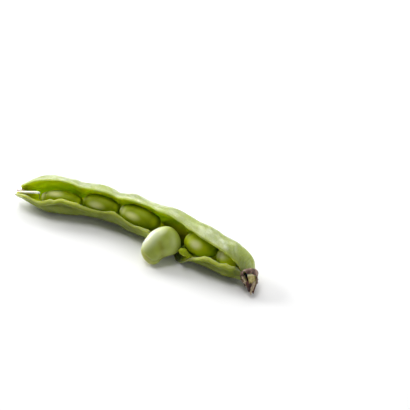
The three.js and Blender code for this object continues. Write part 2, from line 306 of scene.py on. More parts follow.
def grid_faces(rows, columns, closed=False):
    """Quads between rings of points, with the last ring joined to the first if closed."""
    here = np.arange(rows * columns).reshape(rows, columns)
    here = np.vstack([here, here[:1]]) if closed else here
    side = np.roll(here, -1, axis=1)
    return np.stack([here[:-1], side[:-1], side[1:], here[1:]], -1).reshape(-1, 4).tolist()


def tube_faces(rows, sides, turned=True):
    """Faces of a tube of rings with both its ends closed."""
    last = (rows - 1) * sides
    faces = grid_faces(rows, sides)
    faces += [tuple(range(sides))[::-1], tuple(last + side for side in range(sides))]
    return [face[::-1] for face in faces] if turned else faces


# ---- the pod

STATIONS = 336
OUTLINE_POINTS = 133  # from the front lip, round the back seam, to the upper lip
RIM_POINTS = 5
SKIN = 0.55  # least thickness of a valve under a bean
LIP_UPPER, LIP_FRONT = 0.9, 1.35  # thickness of the lips
PAD_UPPER, PAD_FRONT = 6.9, 3.2  # thickness of the soft lining away from the beans
FILL_UPPER, FILL_FRONT = 0.7, 0.5  # the most of a valve's half thickness that the lining fills
BED_WALL, BED_WALL_REACH = 2.2, 1.9  # how much thicker the lining is between two beds
EMPTY_BED_WALL = 1.8  # how much thicker still at the end of the empty bed towards the stalk
FLESH_FROM = 146  # distance from which the pod's neck fills with flesh
BED_GAP = 0.25  # between a bean and its bed
BED_HOLD = 1.2  # how much further the upper lining comes over the beans
PROBE_STEPS, PROBE_REACH = 34, 8.0  # in how many steps, and how far under the skin, the beds are looked for
BEAN_FULLNESS = 2.5  # exponent of a bedded bean's outline: 2 is an ellipse, more is squarer
BEAN_ROUNDNESS = 2.1  # the same for the section of every bean

# The swelling of the lining in the empty bed: its distance and share, its reach in both, and its height.
CUSHION_PLACE = (96.5, 0.12)
CUSHION_REACH = (5.0, 0.16)
CUSHION_HEIGHT = 0.9

# Waves of the front lip: distance, height and reach, in millimetres.
LIP_WAVES = [
    (24.8, 0.45, 1.3), (28.0, -0.6, 1.6), (33.0, 0.5, 2.4), (41.0, 0.8, 3.0), (87.0, 0.4, 2.0),
    (94.0, 0.8, 1.8), (130.5, 0.5, 1.2), (134.0, 0.6, 1.4), (139.5, -0.6, 1.6), (143.5, 0.6, 1.5),
]

# How strongly the front lip rolls outwards: distance, share.
ROLLED = [(0, 0.6), (24, 1), (40, 0.9), (50, 0.15), (90, 0.15), (116, 0.3), (122, 0.9), (148, 0.8), (155, 0)]
ROLL_FROM = 23.0  # distance where the roll starts

# The skin's slanting ripples: height, squeeze along and across the slant, size, seed. Then its grain:
# height, size, seed.
SLANT = (0.85, 0.53)  # cosine and sine of the slant
SLANTED_RIPPLES = [(0.2, (0.6, 1), 4.2, 1), (0.05, (0.7, 1), 1.5, 6), (0.42, (1, 0.4), 6.5, 11)]
GRAIN = [(0.04, 0.9, 2), (0.02, 0.45, 3)]

# Distances over which the green deepens as painted shade: into and out of the torn stretch, towards the tip
# and the neck.
TORN_IN, TORN_OUT = (88, 93), (122, 114)
TO_TIP, TO_NECK, TO_POINT = (15, 5), (144.5, 150.5), (3.0, 0.6)
LINING_SHIFT = 50  # keeps the lining's pattern apart from the skin's


def near_bed_end(distances, reach):
    """1 where one bed ends and the next begins, fading over reach."""
    return np.max([hump(distances, end, reach) for end in BED_ENDS], axis=0)


def by_valve(shares, upper, front):
    """One value on the upper valve and the other on the front valve."""
    return np.where(shares > 0, upper, front)


def in_space(flat, centre, level):
    """Points [level, height] of each section as points of the pod's own frame."""
    return centre[:, None] + level[:, None] * flat[..., :1] + UPWARDS * flat[..., 1:]


def bean_field(points, centre, axes, size, grow):
    """Below 0 inside a bean that is larger by grow all round, above 0 outside it."""
    x, y, z = (np.abs((points - centre) @ axis) / (extent / 2 + grow) for axis, extent in zip(axes, size))
    flat = (x**BEAN_FULLNESS + y**BEAN_FULLNESS) ** (BEAN_ROUNDNESS / BEAN_FULLNESS)
    return (flat + z**BEAN_ROUNDNESS) ** (1 / BEAN_ROUNDNESS) - 1


def bedded_place(distance, shift):
    """Centre of a bedded bean, and its axes: along the pod, into the opening and towards the upper valve."""
    centre, forward, out, up = opening_frame(distance)
    return centre + out * shift[0] + up * shift[1], (forward, -out, up)


def outer_outline(distances, shares):
    """Points [level, height] of each section from its centre: front lip, back seam, upper lip."""
    depth, upper, front, upper_lip, front_lip = along(SECTION, distances).T[:, :, None]
    swell = 1 - WAIST * near_bed_end(distances, WAIST_REACH)[:, None]
    lip = np.radians(by_valve(shares, upper_lip, front_lip))
    angle = math.pi - (math.pi - lip) * shares
    x, y = depth * np.cos(angle), by_valve(shares, upper, front) * swell * np.sin(angle)
    lift = math.radians(OPEN_SIDE_LIFT)
    turned = [x * math.cos(lift) - y * math.sin(lift), x * math.sin(lift) + y * math.cos(lift)]
    return press_flat(np.stack(turned, -1), along(PRESSED, distances)[:, 0])


def press_flat(points, share):
    """Unrolls what rises from the bottom to the front lip onto the table, by the given share."""
    pressed = points.copy()
    for index in range((points.shape[1] - 1) // 2 - 1, -1, -1):
        x, y = (points[:, index] - points[:, index + 1]).T
        rise = np.clip(np.arctan2(y, x), 0, None)
        cosine, sine = np.cos(share * rise), np.sin(share * rise)
        turned = np.stack([x * cosine + y * sine, y * cosine - x * sine], -1)
        pressed[:, index] = pressed[:, index + 1] + turned
    return pressed


def outline_normals(outline):
    """Unit directions into the pod at every point of the outlines."""
    tangent = np.gradient(outline, axis=1)
    return unit(np.stack([tangent[..., 1], -tangent[..., 0]], -1))


def lining_body(shares):
    """1 round the back seam, falling to 0 at the lips."""
    body = np.sqrt(np.clip(1 - np.abs(shares) ** 4, 0, 1))
    return body * by_valve(shares, smooth_step(1.05, 0.82, shares), 1)


def lining_pad(distances, shares, room):
    """Thickness of the lining where no bean presses on it, with walls between the beds."""
    walls = BED_WALL * near_bed_end(distances, BED_WALL_REACH)
    walls = walls + EMPTY_BED_WALL * hump(distances, EMPTY_TO, 1.0)
    walls = walls - BED_WALL * hump(distances, EMPTY_FROM, 2.5)
    lip, body = by_valve(shares, LIP_UPPER, LIP_FRONT), lining_body(shares)
    pad = lip + (by_valve(shares, PAD_UPPER, PAD_FRONT) - lip) * body + body * walls[:, None]
    return np.minimum(pad, by_valve(shares, FILL_UPPER, FILL_FRONT) * room + 0.1)


def depth_to_beds(distances, shares, outline, inwards, centre, level):
    """How far under the skin the nearest bed begins, found in steps inwards from every point."""
    gap = BED_GAP - BED_HOLD * smooth_step(0.1, 0.3, shares)
    samples = np.linspace(0, 1, PROBE_STEPS)
    limit = np.full(outline.shape[:2], PROBE_REACH)
    for distance, size, shift in [*BEDDED_BEANS.values(), EMPTY_BED]:
        rows = np.abs(distances - distance) < size[0]
        middle, axes = bedded_place(distance, shift)
        outside = np.ones((rows.sum(), shares.size), bool)
        found = np.full(outside.shape, PROBE_REACH)
        previous = None
        for sample in samples:
            flat = outline[rows] + inwards[rows] * (sample * PROBE_REACH)
            field = bean_field(in_space(flat, centre[rows], level[rows]), middle, axes, size, gap)
            if previous is not None:
                hit = outside & (field < 0)
                part = previous / np.clip(previous - field, 1e-6, None)
                before = (sample - samples[1]) * PROBE_REACH
                found[hit] = (before + part * samples[1] * PROBE_REACH)[hit]
                outside &= ~hit
            previous = field
        limit[rows] = np.minimum(limit[rows], found)
    return limit


def lining_depth(distances, shares, outline, inwards, centre, level):
    """How far the lining's surface lies under the skin: a soft pad that the beans press in, and solid flesh
    in the pod's neck."""
    depth, upper = along(SECTION, distances)[:, :2].T
    room = np.minimum(depth, upper)[:, None]
    limit = depth_to_beds(distances, shares, outline, inwards, centre, level)
    along_pod = (distances[:, None] - CUSHION_PLACE[0]) / CUSHION_REACH[0]
    cushion = np.hypot(along_pod, (shares - CUSHION_PLACE[1]) / CUSHION_REACH[1])
    pressed = blurred(np.minimum(lining_pad(distances, shares, room), limit))
    pressed = pressed + CUSHION_HEIGHT * smooth_step(1.0, 0.5, cushion)
    thick = np.maximum(np.minimum(pressed, limit), np.minimum(SKIN, 0.25 * room))
    solid = 0.8 * room * lining_body(shares)
    flesh = smooth_step(FLESH_FROM, POD_LENGTH, distances)[:, None]
    return thick + (np.maximum(thick, solid) - thick) * flesh


def skin_relief(flow):
    """How far the skin stands out from the plain outline: its ripples and the back seam's ridge."""
    x, y = flow[..., 0], flow[..., 1]
    slanted = np.stack([x * SLANT[0] + y * SLANT[1], y * SLANT[0] - x * SLANT[1]], -1)
    skin = sum(height * ripple(slanted * squeeze, *form) for height, squeeze, *form in SLANTED_RIPPLES)
    skin = sum((height * ripple(flow, *form) for height, *form in GRAIN), skin)
    return skin + (0.35 * hump(y, 0, 1.1) - 0.3 * hump(y, 0, 0.35))


def lip_roll(distances, from_front, from_upper):
    """How far the skin rises beside the lips, which roll outwards."""
    crest = smooth_step(ROLL_FROM, ROLL_FROM + 1.2, distances)[:, None] * hump(from_front, 1.0, 0.8)
    front = along(ROLLED, distances) * (0.7 * crest - 0.6 * hump(from_front, 3.1, 1.0))
    return front + 0.12 * hump(from_upper, 0.7, 0.6)


def lip_wave(distances, from_front):
    """How far the front valve reaches past its plain outline near its wavy lip."""
    wave = sum(height * hump(distances, middle, reach) for middle, height, reach in LIP_WAVES)
    wave = wave + 0.18 * ripple(distances[:, None], 2.1, 9)
    return wave[:, None] * smooth_step(4.5, 0, from_front)


def rim(outline, outer, inner, side):
    """Points round a lip's edge, from its outer side to its inner side."""
    start, end = outer[:, side], inner[:, side]
    ahead = unit(outline[:, side] - outline[:, side + (1 if side == 0 else -1)])
    middle, radius = (start + end) / 2, np.linalg.norm(end - start, axis=1)[:, None] / 2
    turns = np.linspace(0, math.pi, RIM_POINTS + 2)[1:-1]
    across = start - middle
    return np.stack([middle + across * math.cos(turn) + ahead * radius * math.sin(turn) for turn in turns], 1)


def round_ring(outer, upper_rim, inner, front_rim):
    """Values round each section, from its outer side over the upper lip to its inner side and back."""
    rims = np.ones((STATIONS, RIM_POINTS))
    return np.concatenate([outer, upper_rim * rims, inner[:, ::-1], front_rim * rims], 1)


def lip_edges(distances, shares, from_front, from_upper):
    """How pale each point's edge is: fully on the upper lip and where the front lip is rolled."""
    pale = np.where(shares < 0, 0.3 + 0.7 * along(ROLLED, distances), 1)
    edge = hump(np.minimum(from_front, from_upper), 0, 0.45) * pale
    return round_ring(edge, 1, 0.6 * edge, pale[:, :1])


def deep_green(distances, shares, from_upper, bed):
    """How much deeper the green is: painted shade in the lining near both ends, where it is torn, in the
    empty bed and under the upper lip, and on the front lip's edge near the ends and where torn; the skin's
    own deeper green at the very tip. bed is the bean_field of the empty bed."""
    torn = (smooth_step(*TORN_IN, distances) * smooth_step(*TORN_OUT, distances))[:, None]
    torn = torn * smooth_step(0.4, -0.2, shares)
    ends = np.maximum(0.8 * smooth_step(*TO_TIP, distances), smooth_step(*TO_NECK, distances))[:, None]
    hollow = 0.2 * smooth_step(0.06, -0.02, bed)
    shaded = 0.34 * smooth_step(4.5, 1.0, from_upper)
    deep = np.maximum(np.maximum(ends, torn), np.maximum(hollow, shaded))
    point = smooth_step(*TO_POINT, distances)[:, None]
    return round_ring(np.zeros_like(deep) + point, point, deep, np.maximum(ends, torn[:, :1]))


def build_pod(material):
    """Both valves as one closed mesh: the skin outside, the lining inside and round rims along the lips."""
    distances = np.linspace(0, POD_LENGTH, STATIONS)
    shares = np.linspace(-1, 1, OUTLINE_POINTS)
    centre, _, level = pod_frame(distances)
    outline = outer_outline(distances, shares)
    inwards = outline_normals(outline)
    steps = np.linalg.norm(np.diff(outline, axis=1), axis=2)
    arc = np.concatenate([np.zeros((STATIONS, 1)), np.cumsum(steps, 1)], 1)
    arc = arc - arc[:, OUTLINE_POINTS // 2][:, None]
    flow = np.stack([np.broadcast_to(distances[:, None], arc.shape), arc], -1)
    from_front, from_upper = arc - arc[:, :1], arc[:, -1:] - arc

    size = np.clip(along(SECTION, distances)[:, :1] / 8, 0.1, 1)
    relief = skin_relief(flow) + lip_roll(distances, from_front, from_upper)
    depth = lining_depth(distances, shares, outline, inwards, centre, level)
    ahead = unit(outline[:, 0] - outline[:, 1])[:, None] * lip_wave(distances, from_front)[..., None]
    outer = outline - inwards * (relief * size)[..., None] + ahead
    inner = outline + inwards * depth[..., None] + ahead
    inner = inner + inwards * (0.05 * ripple(flow, 1.3, 4) * size)[..., None]
    upper_rim, front_rim = (rim(outline, outer, inner, side) for side in (-1, 0))
    ring = np.concatenate([outer, upper_rim, inner[:, ::-1], front_rim[:, ::-1]], 1)
    columns = ring.shape[1]
    faces = grid_faces(STATIONS, columns)
    faces += end_faces(0, columns, turned=True)
    faces += end_faces((STATIONS - 1) * columns, columns, turned=False)

    distance, bed_size, shift = EMPTY_BED
    bed = bean_field(in_space(inner, centre, level), *bedded_place(distance, shift), bed_size, BED_GAP)
    lining = round_ring(np.zeros_like(arc), 0, np.ones_like(arc), 0)
    pattern = [round_ring(field, field[:, -1:], field, field[:, :1]) for field in np.moveaxis(flow, -1, 0)]
    fields = {
        "lining": lining.ravel(),
        "edge": lip_edges(distances, shares, from_front, from_upper).ravel(),
        # painted shade deep inside the pod and on the lip near its ends, and the deeper green of its point
        "deep": deep_green(distances, shares, from_upper, bed).ravel(),
        "flow": np.stack([*pattern, lining * LINING_SHIFT], -1).reshape(-1, 3),
        "gloss": along(GLOSS, distances).repeat(columns),
    }
    add_mesh("pod_valves", in_space(ring, centre, level), faces, material, "pod_skin", ["pod"], **fields)


def end_faces(first, columns, turned):
    """Closes the ring of points that starts at first: strips between its outer and its inner side."""
    ring = list(range(first, first + columns))
    outer, inner = ring[:OUTLINE_POINTS], ring[-RIM_POINTS - OUTLINE_POINTS : -RIM_POINTS][::-1]
    upper, front = ring[OUTLINE_POINTS - 1 : OUTLINE_POINTS + RIM_POINTS + 1], ring[-RIM_POINTS:]
    faces = list(zip(outer, inner, inner[1:], outer[1:]))
    faces += [tuple(upper[::-1]), (first, *front[::-1], inner[0])]
    return faces if turned else [face[::-1] for face in faces]


# ---- beans

BEAN_CUTS = 60


def unit_sphere(cuts):
    """Points and faces of a ball made from a cube's six grids, in one welded mesh."""
    step = np.tan(np.linspace(-math.pi / 4, math.pi / 4, cuts + 1))
    points, numbers, faces = {}, {}, []
    for axis in range(3):
        for sign in (-1, 1):
            ids = np.empty((cuts + 1, cuts + 1), int)
            for i, j in np.ndindex(ids.shape):
                place = np.roll((sign, step[i], step[j]), axis)
                key = tuple(place.round(6))
                points.setdefault(key, place)
                ids[i, j] = numbers.setdefault(key, len(numbers))
            quads = np.stack([ids[:-1, :-1], ids[1:, :-1], ids[1:, 1:], ids[:-1, 1:]], -1).reshape(-1, 4)
            faces += (quads if sign > 0 else quads[:, ::-1]).tolist()
    return unit(list(points.values())), faces


BALL = unit_sphere(BEAN_CUTS)
LOBE = 3.7  # length of the lobe at the scarred end of a bedded bean


def line_distance(points, line):
    """Distance from each flat point to a line through a few places, and the share of the line before it."""
    line = np.asarray(line, float)
    best, passed = np.full(len(points), np.inf), np.zeros(len(points))
    steps = np.linalg.norm(np.diff(line, axis=0), axis=1)
    total = steps.sum()
    for index, (start, end) in enumerate(zip(line[:-1], line[1:])):
        way = end - start
        part = np.clip((points - start) @ way / (way @ way), 0, 1)
        distance = np.linalg.norm(points - start - part[:, None] * way, axis=1)
        nearer = distance < best
        best[nearer] = distance[nearer]
        passed[nearer] = ((steps[:index].sum() + part * steps[index]) / total)[nearer]
    return best, passed


def crease(place, plane, line, reach):
    """1 on a line drawn on one side of a bean, fading to 0 over reach and towards the line's ends."""
    away, passed = line_distance(place[:, plane], line)
    return hump(away, 0, reach) * smooth_step(0, 0.25, passed) * smooth_step(1, 0.8, passed)


def oval(size, fullness):
    """A bean's outline as rows of angle and radius."""
    angles = np.arange(-180, 181, 6)
    turn = np.radians(angles)
    along_bean, across = np.abs(np.cos(turn) / size[0] * 2), np.abs(np.sin(turn) / size[1] * 2)
    return np.column_stack([angles, (along_bean**fullness + across**fullness) ** (-1 / fullness)])


def painted_highlights(place, patches):
    """How strongly each point of a bean is painted pale as a highlight, from patches on the side that faces
    out of the opening.
    """
    pale = np.zeros(len(place))
    for x, z, reach_x, reach_z, strength in patches:
        away = np.hypot((place[:, 0] - x) / reach_x, (place[:, 2] - z) / reach_z)
        pale = np.maximum(pale, strength * smooth_step(1.0, 0.1, away))
    return pale * smooth_step(2.0, -1.0, place[:, 1])


def painted_glow(spot, shade):
    """How strongly a bedded bean is painted a brighter green at each spot, as a glow where the lining shades
    it;
    spot is given in shares of the bean's half sizes.
    """
    top = smooth_step(0.34, 0.62, 0.45 * spot[:, 1] + 0.55 * spot[:, 2])
    tail = 0.6 * smooth_step(0.75, 0.97, spot[:, 0])
    return np.maximum(np.maximum(top, tail), shade)


def build_bean(node, outline, thickness, centre, axes, material, seed, marks, patches=()):
    """A bean lying in the plane of axes[0] and axes[1] with that outline, its scarred end at -axes[0].
    marks are creases: which side they are on, their line, reach and depth, and whether they are scarred."""
    ball, faces = BALL
    x, y, z = ball.T
    angle, flat = np.arctan2(y, x), np.hypot(x, y)
    full = (flat**BEAN_ROUNDNESS + np.abs(z) ** BEAN_ROUNDNESS) ** (-1 / BEAN_ROUNDNESS)
    radius = along(outline, np.degrees(angle))[:, 0] * flat * full
    place = np.stack([radius * np.cos(angle), radius * np.sin(angle), z * full * thickness / 2], -1)
    half = np.array([outline[:, 1].max(), outline[:, 1].min(), thickness / 2])
    normal = unit(place / half**2)
    push = 0.1 * ripple(place, 6.0, seed) + 0.03 * ripple(place, 1.8, seed + 1)
    push = push + 0.01 * ripple(place, 0.7, seed + 2)
    scar, fold = np.zeros(len(place)), np.zeros(len(place))
    for side, line, reach, depth, scarred in marks:
        plane, facing = ((0, 1), z) if side == "face" else ((0, 2), -y)
        mark = crease(place, plane, line, reach) * smooth_step(0.05, 0.3, facing)
        push = push - depth * mark
        if scarred:
            scar = np.maximum(scar, mark)
        elif depth > 0:
            # the folds are painted darker in the material, as shade in the crease
            fold = np.maximum(fold, mark)
    place = place + normal * push[:, None]
    # pale: painted highlights on the open side
    fields = {"scar": scar, "fold": fold, "own": place, "pale": painted_highlights(place, patches)}
    # painted glow: a brighter green where the lining shades the bean, throughout on the beans that the lips
    # shade
    fields["painted_glow"] = painted_glow(place / half, SHADED_BEANS.get(node, 0))
    points = np.array(centre) + place @ np.array(axes)
    add_mesh("broad_" + node, points, faces, material, "bean_skin", [node], **fields)


def build_beans():
    """The beans in their beds, each with a groove beside its scarred end, and the loose bean."""
    material = bedded_bean_look()
    for number, (node, (distance, size, shift)) in enumerate(BEDDED_BEANS.items()):
        neck = LOBE - size[0] / 2
        groove = DEEPER_GROOVES.get(node, GROOVE)
        marks = [("edge", [(neck + 0.5, -6.5), (neck, -2), (neck, 2), (neck + 0.5, 6.5)], *groove, False)]
        form = (oval(size, BEAN_FULLNESS), size[2], *bedded_place(distance, shift))
        build_bean(node, *form, material, 20 + number, marks, BEAN_HIGHLIGHTS[node])
    length = unit(LOOSE_LENGTH)
    width = unit(np.cross(LOOSE_FACE, length))
    axes = (length, width, np.cross(length, width))
    outline = np.array(LOOSE_OUTLINE, float)
    build_bean("bean_4", outline, LOOSE_THICKNESS, LOOSE_CENTRE, axes, loose_bean_look(), 31, LOOSE_MARKS)


# ---- small parts

PURPLE, DARK = 2.0, 3.0  # tones of the thread's attribute beyond 0, white, and 1, green
HOLDER_DEEP = 0.65  # how deep the green of the loose bean's stalk is


def swept(route, radii, sides, flat=1.0, seed=0, rough=0.0):
    """A closed tube through the route's points with those radii, flattened by flat, with a rough surface."""
    ahead = unit(np.gradient(route, axis=0))
    side = unit(np.cross(ahead[0], UPWARDS))
    turn = np.linspace(0, 2 * math.pi, sides, endpoint=False)[:, None]
    rings = []
    for point, way, radius in zip(route, ahead, radii):
        side = unit(side - way * (side @ way))
        up = np.cross(way, side)
        rings.append(point + side * (np.cos(turn) * radius) + up * (np.sin(turn) * radius * flat))
    rings = np.array(rings)
    if rough:
        rings = rings + (rings - route[:, None]) * (rough * ripple(rings, 0.7, seed))[..., None]
    return rings.reshape(-1, 3), tube_faces(len(route), sides)


def fine_route(points, count):
    """Points close together on a smooth curve through a few."""
    points = np.asarray(points, float)
    length = np.concatenate([[0], np.cumsum(np.linalg.norm(np.diff(points, axis=0), axis=1))])
    return along(np.column_stack([length, points]), np.linspace(0, length[-1], count))


def joined(parts):
    """Several (points, faces) as one."""
    points, faces, first = [], [], 0
    for part_points, part_faces in parts:
        points.append(part_points)
        faces += [tuple(first + index for index in face) for face in part_faces]
        first += len(part_points)
    return np.concatenate(points), faces


def build_thread(material):
    """The seam's white fibre with its green end, a thin purple one beside it and the style's dark nub."""
    count, sides, style_count = 110, 16, 40
    share = np.linspace(0, 1, count)
    green = smooth_step(0.83, 0.87, share)
    radii = 0.8 * smooth_step(-0.1, 0.25, share) * (1 - 0.7 * green)
    fibre = swept(fine_route(THREAD_ROUTE, count), radii, sides, flat=0.9, seed=5, rough=0.12)
    radii = np.linspace(0.32, 0.12, style_count)
    style = swept(fine_route(STYLE_ROUTE, style_count), radii, 10, seed=6, rough=0.3)
    ball, faces = unit_sphere(10)
    nub = np.array(NUB_CENTRE) + ball * NUB_SIZE * (1 + 0.3 * ripple(ball, 0.7, 8))[:, None]
    tone = np.concatenate([green.repeat(sides), np.full(len(style[0]), PURPLE), np.full(len(nub), DARK)])
    points, faces = joined([fibre, style, (nub, faces)])
    add_mesh("seam_fibre", points, faces, material, "thread", ["seam_thread"], tone=tone)


def build_holder(material):
    """The little stalk that held the loose bean, a crumpled head on a stem that runs into the torn lip."""
    count, sides = 90, 40
    route = fine_route(HOLDER_ROUTE, count)
    radii = along(HOLDER_RADII, np.linspace(0, 1, count))[:, 0]
    rings, faces = swept(route, radii, sides)
    away = unit(rings - route.repeat(sides, axis=0))
    crumple = 0.55 * ripple(rings, 1.7, 71) + 0.2 * ripple(rings, 0.7, 72)
    points = rings + away * (crumple * np.minimum(1, radii.repeat(sides)))[:, None]
    flow = np.column_stack([np.linspace(0, 9, count).repeat(sides), rings[:, 1] * 2, np.zeros(len(rings))])
    lining, deep = np.ones(len(points)), np.full(len(points), HOLDER_DEEP)
    add_mesh("bean_holder", points, faces, material, "pod_skin", lining=lining, deep=deep, flow=flow)


def around_stalk(reach, angle, radius):
    """Points beside the stalk's axis, at that reach down the stalk. Angle 0 faces as the loose bean's broad
    face does, and 90 is away from the pod's tip."""
    axis = unit(CUP_DIRECTION)
    side = unit(np.cross(unit(LOOSE_FACE), axis))
    front = np.cross(axis, side)
    turn = np.radians(np.asarray(angle, float))[..., None]
    reach, radius = np.asarray(reach, float)[..., None], np.asarray(radius, float)[..., None]
    return np.array(CUP_FROM) + axis * reach + (side * np.sin(turn) + front * np.cos(turn)) * radius


# How far the dried cup reaches down the stalk at each angle, then radii of cup and stalk at each reach.
CUP_REACH = [
    (-180, 5.2), (-120, 4.6), (-75, 3.6), (-50, 3.4), (-41, 1.9), (-26, 1.7), (-16, 3.2),
    (14, 3.3), (34, 4.1), (62, 5.0), (80, 5.8), (120, 5.4), (180, 5.2),
]
CUP_RADII = [(0.3, 3.7), (0.8, 4.4), (1.5, 4.75), (2.6, 4.75), (4.4, 4.3), (6.5, 3.7)]
CUP_THICKNESS = 0.45
STALK_RADII = [
    (0.4, 3.4), (1.6, 3.9), (2.2, 3.6), (2.7, 3.2), (3.2, 3.6), (3.9, 3.8),
    (4.7, 3.5), (5.8, 3.1), (7.4, 2.8), (9.0, 2.2), (11.0, 1.5), (12.6, 0.8),
]
STALK_RIBS = 11
SPLIT_ANGLE, SPLIT_REACH = -44, 19  # where the stalk is split, in degrees round it


def build_cup(material):
    """The dried flower cup: a wrinkled collar round the pod's neck, with a ragged edge that reaches further
    down the stalk on one side."""
    rows, columns = 34, 150
    angle = np.linspace(-180, 180, columns, endpoint=False)
    edge = np.stack([np.cos(np.radians(angle)), np.sin(np.radians(angle))], -1) * 4.9
    span = along(CUP_REACH, angle)[:, 0] + 0.4 * ripple(edge, 1.0, 41) + 0.5 * ripple(edge, 2.3, 42)
    share = np.linspace(0, 1, rows)[:, None]
    start = CUP_RADII[0][0]
    reach = start + share * (span - start)
    radius = along(CUP_RADII, reach.ravel())[:, 0].reshape(reach.shape)
    turn = np.broadcast_to(angle, reach.shape)
    plain = around_stalk(reach, turn, radius)
    wrinkles = 0.45 * ripple(plain, 1.5, 43) + 0.16 * ripple(plain, 0.6, 44)
    ridges = 0.3 * np.sin(np.radians(turn) * 8 + 3 * ripple(plain, 3, 45)) * share
    radius = radius + wrinkles + ridges
    outer = around_stalk(reach, turn, radius)
    inner = around_stalk(reach, turn, radius - CUP_THICKNESS)
    points = np.concatenate([outer, inner[::-1]])
    faces = [face[::-1] for face in grid_faces(2 * rows, columns, closed=True)]
    relief = wrinkles + ridges
    # the tone follows the relief, for painted shade in the wrinkles and a painted highlight on the crests
    tone = np.concatenate([relief, relief[::-1]]).ravel()
    add_mesh("dried_flower", points, faces, material, "dried_flower", ["flower_cup"], tone=tone)


def build_stalk(material):
    """The broken stalk: a pale rim, a waist under it and a ribbed, splitting end."""
    rows, columns = 90, 90
    reaches = np.linspace(STALK_RADII[0][0], STALK_RADII[-1][0], rows)
    angles = np.linspace(-180, 180, columns, endpoint=False)
    reach, angle = np.meshgrid(reaches, angles, indexing="ij")
    radius = np.broadcast_to(along(STALK_RADII, reaches), reach.shape)
    ribs = 0.16 * np.cos(np.radians(angle * STALK_RIBS)) * smooth_step(4.5, 7.5, reach)
    splitting = hump(angle, SPLIT_ANGLE, SPLIT_REACH)
    split = -2.6 * splitting * smooth_step(9.5, 7.0, reach)
    rough = 0.3 * ripple(around_stalk(reach, angle, radius), 1.2, 51)
    radius = np.maximum(radius + ribs + split + rough * smooth_step(3, 8, reach), 0.3)
    points = around_stalk(reach, angle, radius)
    fields = {"reach": reach.ravel(), "split": (splitting * smooth_step(9.5, 7.5, reach)).ravel()}
    add_mesh("broken_stalk", points, tube_faces(rows, columns), material, "stalk_flesh", ["stalk"], **fields)


# Withered strips round the stalk: tone from 0, dark, to 1, pale, then reach, angle, radius and half width
# of each point.
STRIPS = [
    (0.55, [(2.8, -72, 4.6, 0.4), (3.0, -72, 5.6, 0.7), (3.1, -71, 6.7, 0.5), (3.2, -70, 7.9, 0.2)]),
    (0.50, [(3.0, -76, 4.6, 0.6), (4.4, -74, 4.5, 0.9), (6.2, -68, 4.0, 0.7), (7.8, -60, 3.3, 0.3)]),
    (0.98, [(3.8, -66, 4.1, 0.5), (5.2, -63, 4.1, 0.8), (7.0, -56, 3.5, 0.7), (8.4, -46, 2.9, 0.3)]),
    (0.40, [(2.6, -94, 4.5, 0.5), (4.6, -90, 4.4, 0.7), (6.4, -82, 3.9, 0.5), (8.0, -70, 3.1, 0.3)]),
    (0.28, [(6.9, -34, 3.2, 0.5), (7.9, -28, 3.4, 1.0), (9.2, -28, 3.0, 0.9), (10.6, -36, 2.4, 0.3)]),
    (0.00, [(8.4, -4, 2.9, 0.4), (9.6, -8, 2.9, 0.8), (11.0, -18, 2.5, 0.8), (12.6, -34, 2.1, 0.3)]),
    (0.05, [(9.8, -26, 2.7, 0.5), (11.2, -36, 2.4, 0.7), (12.4, -44, 2.1, 0.3)]),
    (0.80, [(7.2, 40, 3.3, 0.5), (8.6, 32, 3.2, 0.9), (10.4, 18, 2.7, 0.8),
            (12.2, 2, 1.9, 0.6), (13.4, -12, 1.4, 0.3)]),
    (0.48, [(5.0, 72, 4.0, 0.6), (6.8, 68, 3.9, 1.0), (8.6, 62, 3.5, 0.9), (10.2, 54, 2.9, 0.3)]),
    (0.20, [(9.4, 60, 2.9, 0.4), (10.8, 52, 2.5, 0.6), (12.6, 38, 1.9, 0.5), (13.6, 28, 1.5, 0.25)]),
    (0.90, [(10.4, 2, 2.7, 0.3), (11.6, -6, 2.3, 0.6), (13.0, -12, 1.7, 0.5), (14.0, -18, 1.3, 0.25)]),
    (0.30, [(3.0, 118, 4.4, 0.7), (5.2, 122, 4.3, 1.0), (7.6, 120, 3.5, 0.7), (9.4, 114, 2.7, 0.3)]),
    (0.60, [(3.0, 160, 4.3, 0.7), (5.4, 158, 4.1, 1.0), (8.2, 162, 3.1, 0.6), (10.2, 170, 2.3, 0.3)]),
    (0.40, [(3.0, -150, 4.3, 0.7), (5.2, -148, 4.1, 1.0), (7.6, -152, 3.3, 0.6), (9.4, -160, 2.6, 0.3)]),
    (0.35, [(2.6, -114, 4.4, 0.7), (4.8, -112, 4.2, 0.9), (6.8, -108, 3.6, 0.6), (8.6, -104, 2.9, 0.3)]),
]


